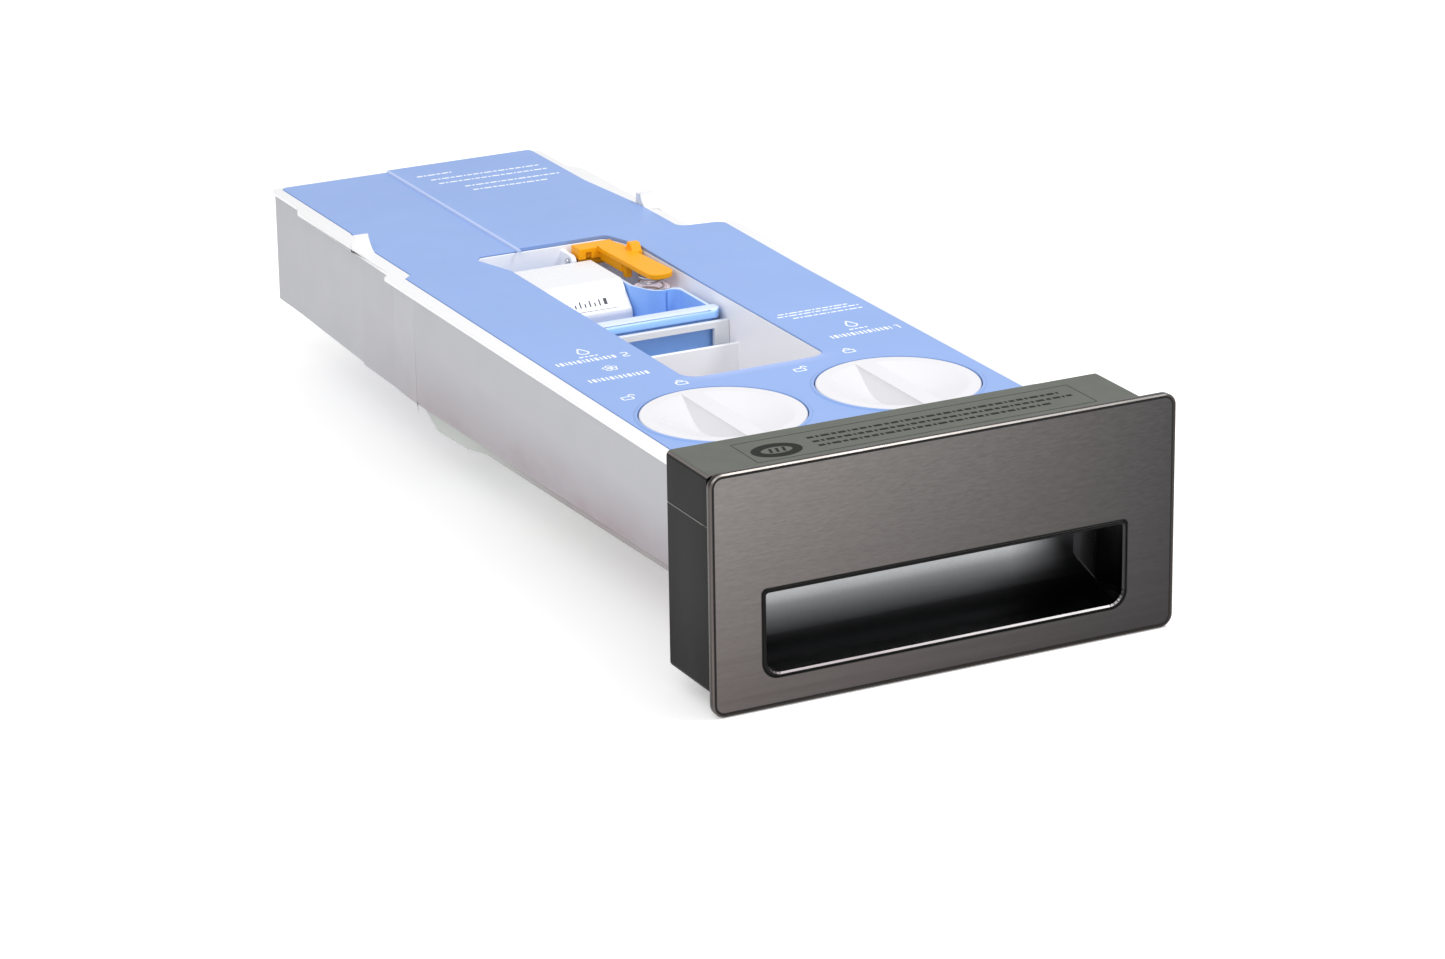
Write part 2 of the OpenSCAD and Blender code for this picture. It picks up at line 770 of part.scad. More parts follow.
module poppet_spring(x)
    translate([x, guide_y + 2, spigot_z]) rotate([-90, 0, 0])
        ring_stack(3.6, 0.4, poppet_y0 - guide_y - 2, 5);

module poppet_spring_left() color(bright_steel) placed() poppet_spring(spigot_left_x);
module poppet_spring_right() color(bright_steel) placed() poppet_spring(spigot_right_x);

module poppet_guide(x)
    difference() {
        rod_y(x, guide_y, guide_y + 2, spigot_z, nozzle_r - 1.85);
        rod_y(x, guide_y - 1, guide_y + 3, spigot_z, pin_r + pin_play);
        for (turn = [0 : 90 : 270])
            translate([x, guide_y - 1, spigot_z]) rotate([0, turn + 45, 0])
                translate([3.4, 0, 0]) rotate([-90, 0, 0]) cylinder(h = 4, r = 1);
    }

module poppet_guide_left() color(plain_white) placed() poppet_guide(spigot_left_x);
module poppet_guide_right() color(plain_white) placed() poppet_guide(spigot_right_x);

// ---------- middle well ----------

// Left part runs back under the insert; the right part stops short of the lever
function cup_outline(i) =
    rounded([[cup_x0 + i, cup_y0 + i, 3],
             [cup_x1 - i, cup_y0 + i, 6 - i],
             [cup_x1 - i, cup_step_y - i, 4],
             [cup_step_x + 6, cup_step_y - 6 - i, 8],
             [cup_step_x - i, cup_step_y + 11, 6],
             [cup_step_x - i, cup_y1 - i, 2.6 - i],
             [cup_x0 + i, cup_y1 - i, 2.6 - i]]);

module manual_cup()
    color(cup_blue) placed() difference() {
        union() {
            slab(cup_outline(0), cup_z0, cup_z1);
            // rolled lip over the cup frame
            intersection() {
                slab(rounded([[cup_x0, cup_y0 - 1.4, 2], [cup_x1 + 2.2, cup_y0 - 1.4, 7],
                              [cup_x1 + 2.2, cup_y0 + 9, 0], [cup_x0, cup_y0 + 9, 0]]),
                     cup_z1 - 4, cup_z1 + 1);
                across(rounded([[cup_y0 - 1.4, cup_z1 - 4, 1], [cup_y0 + 9, cup_z1 - 4, 0],
                                [cup_y0 + 9, cup_z1, 0], [cup_y0 - 1.4, cup_z1 + 0.8, 3.4]]),
                       cup_x0, cup_x1 + 3);
            }
        }
        difference() {
            slab(cup_outline(cup_t), cup_z0 + cup_t, cup_z1 + 2);
            block(cup_x0, cup_x1 + 2, cup_y0 - 2, cup_y0 + 9, cup_z1 - 4, cup_z1 + 2);
        }
        // flush outlet at the rear of the floor
        block(-30, -4, cup_y1 - 18, cup_y1 - 8, cup_z0 - 1, cup_z0 + cup_t + 1);
    }

module cup_frame()
    color(plain_white) placed() difference() {
        block(well_x0 + 0.2, well_x1 - 0.2, cup_y0 - 4.4, cup_y0 - 1.8, floor_z + 1.9, cup_z1 - 4.4);
        block(well_x0 + 4, well_x1 - 8, cup_y0 - 6, cup_y0, floor_z + 8, cup_z1 - 7.8);
    }

// Insert: flat top, sloped front with the fill mark, open below
function insert_side(i) =
    rounded([[insert_front_y + i, 60 - i * 20, 0], [cup_y1 - cup_t - 0.6 - i, 60 - i * 20, 0],
             [cup_y1 - cup_t - 0.6 - i, insert_top - i, 3], [insert_fold_y, insert_top - i, 4],
             [insert_front_y + i, insert_top - 13 - i * 0.4, 4]]);

module liquid_insert()
    color(plain_white) placed() difference() {
        across(insert_side(0), cup_x0 + cup_t + 0.6, insert_x1);
        across(insert_side(1.4), cup_x0 + cup_t + 2, insert_x1 - 1.4);
    }

module release_lever()
    color(lever_orange) placed() difference() {
        union() {
            // barrel on the pin, and the cross bar over it
            rod_x(1, 21.4, pivot_y, pivot_z, 3.4);
            across(rounded([[pivot_y - 5.2, pivot_z + 1.2, 0], [pivot_y + 4.4, pivot_z + 1.2, 0],
                            [pivot_y + 4.4, tab_z0 + tab_t, 1], [pivot_y - 5.2, tab_z0 + tab_t, 0.6]]),
                   0.2, 21.4);
            // tab with a rounded tip
            slab(rounded([[11.8, tip_y, 5], [26.2, tip_y, 7], [22.8, pivot_y - 4, 2],
                          [10.4, pivot_y - 4, 0]]), tab_z0, tab_z0 + tab_t);
            // ribs and post under the tab
            block(11.8, 13.8, 348, pivot_y - 5, tab_z0 - 4.6, tab_z0 + 1);
            block(20, 22, 340, pivot_y - 5, tab_z0 - 3, tab_z0 + 1);
            block(13, 16.4, 345, 348.6, tab_z0 - 7, tab_z0 + 1);
            // catch nub
            across([[354.6, tab_z0 + tab_t - 1], [363, tab_z0 + tab_t - 1],
                    [361.4, tab_z0 + tab_t + 3.6], [357.6, tab_z0 + tab_t + 3.6]], 21.6, 27);
            block(21.6, 27, 354.6, 363, tab_z0, tab_z0 + tab_t);
        }
        rod_x(-6, 23, pivot_y, pivot_z, pin_r + pin_play);
        // hollow moulded into the bar's front
        block(4, 7, pivot_y - 6, pivot_y - 3.6, pivot_z, tab_z0 + 0.2);
    }

module lever_pin()
    color(bright_steel) placed() rod_x(-4.6, 26, pivot_y, pivot_z, pin_r);

// Smoky cup that keeps the return spring upright below the lever's tip
module lever_spring_cup()
    color([0.6, 0.6, 0.62, 0.6]) placed() difference() {
        rod_z(spring_x, spring_y, spring_z, tab_z0 - 6.6, 9);
        rod_z(spring_x, spring_y, spring_z + 2, tab_z0, 7.8);
    }

module lever_spring()
    color(bright_steel) placed() translate([spring_x, spring_y, spring_z + 2])
        ring_stack(6, 0.6, tab_z0 - spring_z - 2, 12);

panel_skin();
panel_frame();
handle_pocket();
housing_base();
housing_cap();
panel_screws();
pocket_screws();
drawer_tray();
tray_rim();
well_box();
tank_partitions();
bottom_pan();
top_cover();
cap_left();
cap_right();
cap_seal_left();
cap_seal_right();
float_left();
float_right();
float_magnet_left();
float_magnet_right();
float_pin_left();
float_pin_right();
spigot_left();
spigot_right();
spigot_seal_left();
spigot_seal_right();
poppet_left();
poppet_right();
poppet_seal_left();
poppet_seal_right();
poppet_spring_left();
poppet_spring_right();
poppet_guide_left();
poppet_guide_right();
cup_frame();
manual_cup();
liquid_insert();
release_lever();
lever_pin();
lever_spring();
lever_spring_cup();
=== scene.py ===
import itertools
import json
import math

import bmesh
import bpy
from mathutils import Matrix, Vector


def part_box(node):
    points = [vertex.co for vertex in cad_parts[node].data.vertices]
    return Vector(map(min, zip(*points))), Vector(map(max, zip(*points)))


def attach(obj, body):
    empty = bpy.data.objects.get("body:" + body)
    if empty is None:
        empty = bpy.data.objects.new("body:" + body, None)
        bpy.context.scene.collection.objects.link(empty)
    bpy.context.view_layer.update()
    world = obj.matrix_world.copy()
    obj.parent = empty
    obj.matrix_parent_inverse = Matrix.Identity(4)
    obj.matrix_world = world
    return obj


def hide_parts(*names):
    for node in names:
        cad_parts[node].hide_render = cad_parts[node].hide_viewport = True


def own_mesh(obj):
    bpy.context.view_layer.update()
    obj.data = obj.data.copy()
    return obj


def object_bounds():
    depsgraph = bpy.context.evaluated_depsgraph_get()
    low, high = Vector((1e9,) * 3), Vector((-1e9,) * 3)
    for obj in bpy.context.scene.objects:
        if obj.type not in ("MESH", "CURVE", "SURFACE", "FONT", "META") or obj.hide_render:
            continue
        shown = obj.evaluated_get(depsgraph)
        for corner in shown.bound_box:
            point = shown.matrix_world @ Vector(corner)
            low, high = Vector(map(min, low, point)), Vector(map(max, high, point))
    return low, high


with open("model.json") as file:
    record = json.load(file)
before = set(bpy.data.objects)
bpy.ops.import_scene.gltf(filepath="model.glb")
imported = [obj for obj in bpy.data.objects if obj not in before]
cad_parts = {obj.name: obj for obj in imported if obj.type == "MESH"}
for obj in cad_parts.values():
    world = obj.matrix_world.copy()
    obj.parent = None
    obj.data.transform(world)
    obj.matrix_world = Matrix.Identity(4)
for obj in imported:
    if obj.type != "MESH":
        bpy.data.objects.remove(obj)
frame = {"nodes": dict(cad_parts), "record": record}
CAD_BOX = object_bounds()
MM = 0.001
HALF_LENGTH = (CAD_BOX[1].y - CAD_BOX[0].y) / 2
CUP_RIM_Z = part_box("manual_cup")[1].z
# The plane one millimetre behind the front of the pocket's lip
LIP_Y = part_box("handle_pocket")[0].y + MM

# In millimetres, with Y from the front panel's face
PANEL_RADIUS = 6
MOUTH_TOP = 54.8
MOUTH_LOW_RADIUS, MOUTH_TOP_RADIUS = 8, 2.4
LIP_WIDTH = 2
WELL_LEFT, WELL_FRONT, WELL_RIGHT = -43.7, 164, 28.6
PAD_EDGE = ((-27.5, 381.4), (-27.5, 547.4))
COVER_TOP, PAD_TOP = 94.8, 96.0
# How deep a raised mark reaches into the surface that carries it
MARK_DEPTH = 0.25

# Strokes of the two numerals, on a grid 2 wide and 4 high
ONE = ((0.2, 3.2, 1.2, 4.0), (1.2, 4.0, 1.2, 0.0))
TWO = ((0, 4, 2, 4), (2, 4, 2, 2.2), (2, 2.2, 0, 1.4), (0, 1.4, 0, 0), (0, 0, 2, 0))
# Lengths of the dashes and blocks that stand for print
DASHES = (3.1, 1.4, 4.2, 2.2, 3.6, 1.1, 2.7)
BLOCKS = (0.8, 1.5, 0.6, 1.1)


def at(x, y, z):
    """A point in millimetres, with y from the front panel's face, as a point of the row frame."""
    return Vector((x * MM, y * MM - HALF_LENGTH, z * MM))


# ---------- material helpers ----------

class Nodes:
    """A Principled material with procedural colour, roughness and bump."""

    def __init__(self, name, colour, rough, metallic=0.0):
        self.mat = bpy.data.materials.new(name)
        self.mat.use_nodes = True
        self.tree = self.mat.node_tree
        self.bsdf = self.tree.nodes["Principled BSDF"]
        self.bsdf.inputs["Base Color"].default_value = (*colour, 1)
        self.bsdf.inputs["Roughness"].default_value = rough
        self.bsdf.inputs["Metallic"].default_value = metallic
        self.colour, self.rough = colour, rough
        self.coord = self.tree.nodes.new("ShaderNodeTexCoord")

    def link(self, a, b):
        self.tree.links.new(a, b)

    def set(self, **values):
        for key, value in values.items():
            self.bsdf.inputs[key.replace("_", " ")].default_value = value
        return self

    def noise(self, scale, stretch=(1, 1, 1), detail=4.0, rough=0.55, seed=0.0):
        mapping = self.tree.nodes.new("ShaderNodeMapping")
        mapping.inputs["Scale"].default_value = stretch
        mapping.inputs["Location"].default_value = (seed, seed * 0.7, seed * 1.3)
        self.link(self.coord.outputs["Object"], mapping.inputs["Vector"])
        tex = self.tree.nodes.new("ShaderNodeTexNoise")
        tex.inputs["Scale"].default_value = scale
        tex.inputs["Detail"].default_value = detail
        tex.inputs["Roughness"].default_value = rough
        self.link(mapping.outputs["Vector"], tex.inputs["Vector"])
        return tex.outputs["Fac"]

    def along(self, axis, source="Object"):
        """The object coordinate, or the surface normal, along one axis."""
        node = self.tree.nodes.new("ShaderNodeSeparateXYZ")
        self.link(self.coord.outputs[source], node.inputs["Vector"])
        return node.outputs[axis]

    def spread(self, fac, low, high, start=0.25, end=0.75):
        node = self.tree.nodes.new("ShaderNodeMapRange")
        for key, value in (("From Min", start), ("From Max", end), ("To Min", low), ("To Max", high)):
            node.inputs[key].default_value = value
        self.link(fac, node.inputs["Value"])
        return node.outputs["Result"]

    def times(self, a, b):
        node = self.tree.nodes.new("ShaderNodeMath")
        node.operation = "MULTIPLY"
        self.link(a, node.inputs[0])
        self.link(b, node.inputs[1])
        return node.outputs["Value"]

    def mix(self, fac, a, b):
        node = self.tree.nodes.new("ShaderNodeMix")
        node.data_type = "RGBA"
        self.link(fac, node.inputs["Factor"])
        for key, value in (("A", a), ("B", b)):
            socket = [i for i in node.inputs if i.name == key and i.type == "RGBA"][0]
            if isinstance(value, tuple):
                socket.default_value = (*value, 1)
            else:
                self.link(value, socket)
        return [o for o in node.outputs if o.type == "RGBA"][0]

    def tones(self, fac, darker=0.9, lighter=1.06, start=0.25, end=0.75):
        low = tuple(c * darker for c in self.colour)
        high = tuple(min(c * lighter, 1) for c in self.colour)
        return self.mix(self.spread(fac, 0, 1, start, end), low, high)

    def paint(self, colour):
        self.link(colour, self.bsdf.inputs["Base Color"])
        return self

    def roughen(self, value):
        self.link(value, self.bsdf.inputs["Roughness"])
        return self

    def vary_rough(self, fac, amount=0.06):
        return self.roughen(self.spread(fac, self.rough - amount, self.rough + amount))

    def bump(self, fac, height_m, strength=0.5):
        node = self.tree.nodes.new("ShaderNodeBump")
        node.inputs["Distance"].default_value = height_m
        node.inputs["Strength"].default_value = strength
        self.link(fac, node.inputs["Height"])
        self.link(node.outputs["Normal"], self.bsdf.inputs["Normal"])
        return self


def moulded(name, colour, rough=0.38, tone=0.04, **sockets):
    """Injection moulded plastic: faint flow tones, fine grain, uneven gloss."""
    m = Nodes(name, colour, rough)
    m.paint(m.tones(m.noise(14, detail=3, seed=3.1), 1 - tone, 1 + tone))
    m.vary_rough(m.noise(60, detail=5, seed=7.7), 0.04)
    m.bump(m.noise(700, detail=2), 0.000008, 0.3)
    return m.set(**sockets)


def brushed(name, colour, rough=0.34):
    """Bright metal with fine brushing along X."""
    m = Nodes(name, colour, rough, metallic=1.0)
    fine = m.noise(1, (90, 1500, 1500), detail=5, rough=0.6)
    m.paint(m.tones(fine, 0.88, 1.12, 0.3, 0.7))
    m.vary_rough(fine, 0.07)
    return m.bump(fine, 0.000006, 0.4)


def panel_steel():
    """Dark brushed steel: painted sheen at the upper left, painted shade right and low down."""
    m = Nodes("panel_steel_look", (0.11, 0.10, 0.097), 0.36, metallic=1.0)
    fine = m.noise(1, (200, 900, 950), detail=5, rough=0.75)
    broad = m.noise(1, (7, 50, 300), detail=3, seed=4.0)
    grain = m.spread(fine, 0, 1, 0.3, 0.7)
    # Painted sheen: the colour runs from a lit, warm left to a shaded right.
    across = m.spread(m.along("X"), 1.0, 0.0, -0.115, 0.115)
    left = m.mix(grain, (0.170, 0.155, 0.148), (0.232, 0.215, 0.206))
    right = m.mix(grain, (0.050, 0.048, 0.048), (0.074, 0.072, 0.072))
    shade = m.mix(across, right, left)
    # Painted shade: darker towards the lower edge, fading out 105 mm up.
    low = m.mix(across, (0.040, 0.038, 0.039), (0.098, 0.083, 0.081))
    height = m.spread(m.along("Z"), 1.0, 0.0, 0.0, 0.105)
    m.paint(m.mix(m.times(height, m.spread(broad, 0.75, 1.0)), shade, low))
    m.vary_rough(fine, 0.05)
    return m.bump(fine, 0.000008, 0.5).set(Anisotropic=0.45)


def housing_shell(name):
    """Black plastic; upward faces painted lit, olive and grainy; upper edges painted highlight."""
    m = Nodes(name, (0.012, 0.012, 0.012), 0.26)
    dust = m.noise(90, detail=5, seed=1.7)
    streak = m.noise(1, (30, 60, 7), detail=4, seed=9.0)
    side = m.mix(m.spread(streak, 0, 1, 0.35, 0.7), (0.002, 0.002, 0.002), (0.011, 0.0105, 0.010))
    # Painted light: upward faces take a lit olive colour, mottled by grain.
    top = m.mix(m.spread(dust, 0, 1), (0.113, 0.122, 0.106), (0.128, 0.137, 0.120))
    normal = m.along("Z", "Normal")
    # Painted highlight along the rounded edges between the sides and the top.
    edge_highlight = m.times(m.spread(normal, 0.0, 1.0, 0.35, 0.6), m.spread(normal, 1.0, 0.0, 0.7, 0.93))
    up = m.spread(normal, 0.0, 1.0, 0.6, 0.95)
    m.paint(m.mix(edge_highlight, m.mix(up, side, top), (0.16, 0.145, 0.138)))
    m.roughen(m.spread(up, 0.24, 0.5, 0, 1))
    return m.bump(m.noise(900, detail=2), 0.000012, 0.35).set(Specular_IOR_Level=0.05)


def chamfer_metal(name, dull, left, right):
    """Narrow metal chamfer with a painted highlight where it faces up, fading along its length."""
    m = Nodes(name, dull, 0.42, metallic=1.0)
    wear = m.tones(m.noise(40, detail=2, seed=8.0), 0.92, 1.08)
    # Painted highlight: bright where the chamfer faces up, from the left colour to the right.
    up = m.spread(m.along("Z", "Normal"), 0.0, 1.0, 0.3, 0.6)
    across = m.spread(m.along("X"), 0.0, 1.0, -0.04, 0.09)
    m.paint(m.mix(up, wear, m.mix(across, left, right)))
    m.vary_rough(m.noise(60, detail=2), 0.03)
    return m.bump(m.noise(300, detail=1), 0.000001, 0.1)


def tray_plastic():
    """Grey tray, with faint brownish painted shade in blotches low down near the front."""
    m = Nodes("tray_grey_look", (0.38, 0.382, 0.407), 0.4)
    body = m.tones(m.noise(9, (1, 0.35, 1.6), detail=4, seed=2.0), 0.96, 1.03)
    low = m.spread(m.along("Z"), 1.0, 0.0, 0.034, 0.070)
    front = m.spread(m.along("Y"), 1.0, 0.0, -0.04, 0.15)
    shade_blots = m.spread(m.noise(22, (1, 0.5, 1), detail=5, seed=5.0), 0.5, 1.0, 0.35, 0.65)
    # Painted shade: brownish and darker low down near the front, in blotches.
    m.paint(m.mix(m.times(m.times(low, front), shade_blots), body, (0.19, 0.108, 0.124)))
    m.vary_rough(m.noise(50, detail=5, seed=7.0), 0.05)
    return m.bump(m.noise(500, detail=2), 0.00001, 0.3).set(Specular_IOR_Level=0.4)


def pan_plastic():
    """Pale translucent-looking pan, greenish at the rear; painted shade darkens and warms its front."""
    m = Nodes("pan_green_look", (0.40, 0.425, 0.405), 0.2)
    back = m.tones(m.noise(30, detail=4, seed=2.5), 0.94, 1.05)
    front = m.spread(m.along("Y"), 1.0, 0.0, -0.10, 0.02)
    streak = m.spread(m.noise(18, (1, 0.4, 1), detail=4, seed=6.5), 0.7, 1.0, 0.35, 0.65)
    # Painted shade: the front of the pan darker and warmer, in streaks.
    m.paint(m.mix(m.times(front, streak), back, (0.22, 0.18, 0.19)))
    m.vary_rough(m.noise(60, detail=4), 0.04)
    return m.bump(m.noise(500, detail=2), 0.000008, 0.3)


def cover_plastic():
    """Blue cover, with a paler painted highlight where it rolls over the front edge of the well."""
    m = Nodes("cover_blue_look", (0.23, 0.365, 0.71), 0.36)
    flow = m.tones(m.noise(14, detail=3, seed=3.1), 0.97, 1.03)
    x, y = m.along("X"), m.along("Y")
    edge, left, right = at(0, WELL_FRONT, 0).y, WELL_LEFT * MM, WELL_RIGHT * MM
    # Painted highlight: a paler band just behind the well's front edge, across the well's width.
    near = m.times(m.spread(y, 0.0, 1.0, edge - 0.007, edge),
                   m.spread(y, 1.0, 0.0, edge + 0.001, edge + 0.003))
    highlight_span = m.times(m.spread(x, 0.0, 1.0, left - 0.006, left + 0.014),
                     m.spread(x, 1.0, 0.0, right - 0.014, right + 0.006))
    m.paint(m.mix(m.times(near, highlight_span), flow, (0.36, 0.46, 0.80)))
    m.vary_rough(m.noise(60, detail=5, seed=7.7), 0.04)
    return m.bump(m.noise(700, detail=2), 0.000008, 0.3)


def cup_plastic():
    """Blue plastic, with a paler painted highlight on the upper face of the rim."""
    m = Nodes("cup_blue_look", (0.29, 0.52, 0.97), 0.3)
    flow = m.tones(m.noise(14, detail=3, seed=3.1), 0.97, 1.03)
    # Painted highlight on the upward faces of the rim's top millimetre.
    high = m.spread(m.along("Z"), 0.0, 1.0, CUP_RIM_Z - 0.0012, CUP_RIM_Z - 0.0004)
    facing = m.spread(m.along("Z", "Normal"), 0.0, 1.0, 0.45, 0.9)
    m.paint(m.mix(m.times(high, facing), flow, (0.66, 0.76, 0.96)))
    m.vary_rough(m.noise(60, detail=5, seed=7.7), 0.04)
    return m.bump(m.noise(700, detail=2), 0.000008, 0.3)


def pearl_black():
    """Satin metallic pocket paint, with painted shade low down and at both ends; a near-black lip."""
    m = Nodes("pocket_black_look", (0.62, 0.63, 0.64), 0.33, metallic=1.0)
    satin = m.tones(m.noise(900, detail=2, seed=6.0), 0.96, 1.04)
    x = m.along("X")
    # Painted shade: nearly black towards both ends and low down in the pocket.
    ends = m.times(m.spread(x, 1.0, 0.0, 0.050, 0.078), m.spread(x, 0.0, 1.0, -0.088, -0.074))
    depth = m.spread(m.along("Z"), 0.0, 1.0, 0.022, 0.050)
    inside = m.spread(m.along("Y"), 0.0, 1.0, LIP_Y, LIP_Y + 0.004)
    shade = m.mix(m.times(depth, ends), (0.03, 0.03, 0.032), satin)
    m.paint(m.mix(inside, (0.014, 0.0135, 0.0135), shade))
    m.vary_rough(m.noise(60, detail=3), 0.02)
    return m.bump(m.noise(600, detail=1), 0.000002, 0.2)


MATERIALS = {
    "panel_steel": panel_steel(),
    "panel_black": moulded("panel_black_look", (0.050, 0.043, 0.040), 0.2, tone=0.08,
                           Metallic=1.0),
    "gloss_black": moulded("gloss_black_look", (0.008, 0.008, 0.008), 0.25, tone=0.1,
                           Specular_IOR_Level=0.2),
    "pocket_black": pearl_black(),
    "housing_black": housing_shell("housing_black_look"),
    "housing_olive": housing_shell("housing_olive_look"),
    "screw_steel": brushed("screw_steel_look", (0.55, 0.55, 0.57)),
    "tray_grey": tray_plastic(),
    "rim_white": moulded("rim_white_look", (0.80, 0.80, 0.81), 0.36, tone=0.015),
    "well_white": moulded("well_white_look", (0.94, 0.945, 0.985), 0.38, tone=0.02),
    "pan_green": pan_plastic(),
    "cover_blue": cover_plastic(),
    "cap_white": moulded("cap_white_look", (0.72, 0.715, 0.745), 0.3, tone=0.015),
    "seal_rubber": moulded("seal_rubber_look", (0.03, 0.03, 0.033), 0.7),
    "float_white": moulded("float_white_look", (0.78, 0.78, 0.80), 0.5),
    "magnet_grey": moulded("magnet_grey_look", (0.12, 0.12, 0.13), 0.4),
    "pin_steel": brushed("pin_steel_look", (0.6, 0.6, 0.62), 0.25),
    "spigot_white": moulded("spigot_white_look", (0.76, 0.76, 0.78), 0.4),
    "valve_blue": moulded("valve_blue_look", (0.12, 0.27, 0.72), 0.4),
    "insert_white": moulded("insert_white_look", (0.78, 0.79, 0.82), 0.28, tone=0.015),
    "cup_blue": cup_plastic(),
    "lever_orange": moulded("lever_orange_look", (0.93, 0.385, 0.0035), 0.42, tone=0.03,
                             Specular_IOR_Level=0.2),
    # Painted glow: the smoky cup gives off a little light of its own, though it is no lamp.
    "smoky_clear": moulded("smoky_clear_look", (0.90, 0.85, 0.88), 0.25,
                           Transmission_Weight=0.3, IOR=1.3,
                           Emission_Color=(0.9, 0.8, 0.86, 1), Emission_Strength=0.2),
    "print_white": moulded("print_white_look", (0.93, 0.95, 1.0), 0.45),
    "print_dark": moulded("print_dark_look", (0.022, 0.024, 0.020), 0.6,
                          Specular_IOR_Level=0.05),
    "print_black": moulded("print_black_look", (0.03, 0.03, 0.05), 0.5),
    # Painted highlight colour for the housing's seam line.
    "seam_grey": moulded("seam_grey_look", (0.10, 0.098, 0.092), 0.35),
    # Painted highlight colour for the pad's rounded edge.
    "edge_blue": moulded("edge_blue_look", (0.50, 0.60, 0.88), 0.3, tone=0.03),
    # Last two colours of each chamfer: its painted highlight at the left and at the right.
    "bead_steel": chamfer_metal("bead_steel_look", (0.12, 0.105, 0.098), (0.30, 0.28, 0.265),
                                (0.13, 0.125, 0.12)),
    "lip_bright": chamfer_metal("lip_bright_look", (0.05, 0.05, 0.05), (0.22, 0.20, 0.205),
                                (0.36, 0.35, 0.35)),
}


# Width of the rounded or chamfered edges of each CAD node, in millimetres
EDGES = {
    "panel_frame": 0.6, "handle_pocket": 0.7, "housing_base": 0.6, "housing_cap": 0.6,
    "drawer_tray": 0.5, "tray_rim": 0.35, "well_box": 0.4, "top_cover": 0.3, "bottom_pan": 0.5,
    "cap_left": 0.15, "cap_right": 0.15, "manual_cup": 0.3, "cup_frame": 0.3,
    "liquid_insert": 0.4, "release_lever": 0.4, "lever_spring_cup": 0.3,
    "spigot_left": 0.3, "spigot_right": 0.3, "float_left": 0.5, "float_right": 0.5,
}
# Nodes whose edges are flat chamfers, under the painted-highlight bands of panel_trim
CHAMFERED = ("panel_frame", "handle_pocket")


def soften(obj, width_mm, steps=3):
    """Rounds the hard edges of a CAD node with modifiers, so that they catch the light."""
    for polygon in obj.data.polygons:
        polygon.use_smooth = True
    weld = obj.modifiers.new("weld", "WELD")
    weld.merge_threshold = 1e-6
    flat = obj.modifiers.new("flat_faces", "DECIMATE")
    flat.decimate_type, flat.angle_limit = "DISSOLVE", math.radians(0.3)
    bevel = obj.modifiers.new("soft_edge", "BEVEL")
    bevel.width, bevel.segments = width_mm * MM, steps
    bevel.limit_method, bevel.angle_limit = "ANGLE", math.radians(35)
    bevel.use_clamp_overlap = False
    bevel.miter_outer = "MITER_ARC"
    normals = obj.modifiers.new("even_normals", "WEIGHTED_NORMAL")
    normals.weight = 80


def dress_frame():
    """Gives every CAD node its slot's material, and softens the edges of those that show."""
    for part in frame["record"]["subparts"]:
        obj = frame["nodes"][part["node"]]
        obj.data.materials.clear()
        obj.data.materials.append(MATERIALS[part["material_slot"]].mat)
        if part["node"] in EDGES:
            soften(obj, EDGES[part["node"]], 1 if part["node"] in CHAMFERED else 3)


# ---------- geometry helpers ----------

def piece(name, look, body, verts, faces):
    """A mesh in row-frame metres that rides on a CAD body."""
    mesh = bpy.data.meshes.new(name)
    mesh.from_pydata([tuple(v) for v in verts], [], faces)
    mesh.validate()
    bm = bmesh.new()
    bm.from_mesh(mesh)
    bmesh.ops.recalc_face_normals(bm, faces=bm.faces)
    bm.to_mesh(mesh)
    bm.free()
    obj = bpy.data.objects.new(name, mesh)
    bpy.context.scene.collection.objects.link(obj)
    obj.data.materials.append(MATERIALS[look].mat)
    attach(obj, body)
    return obj


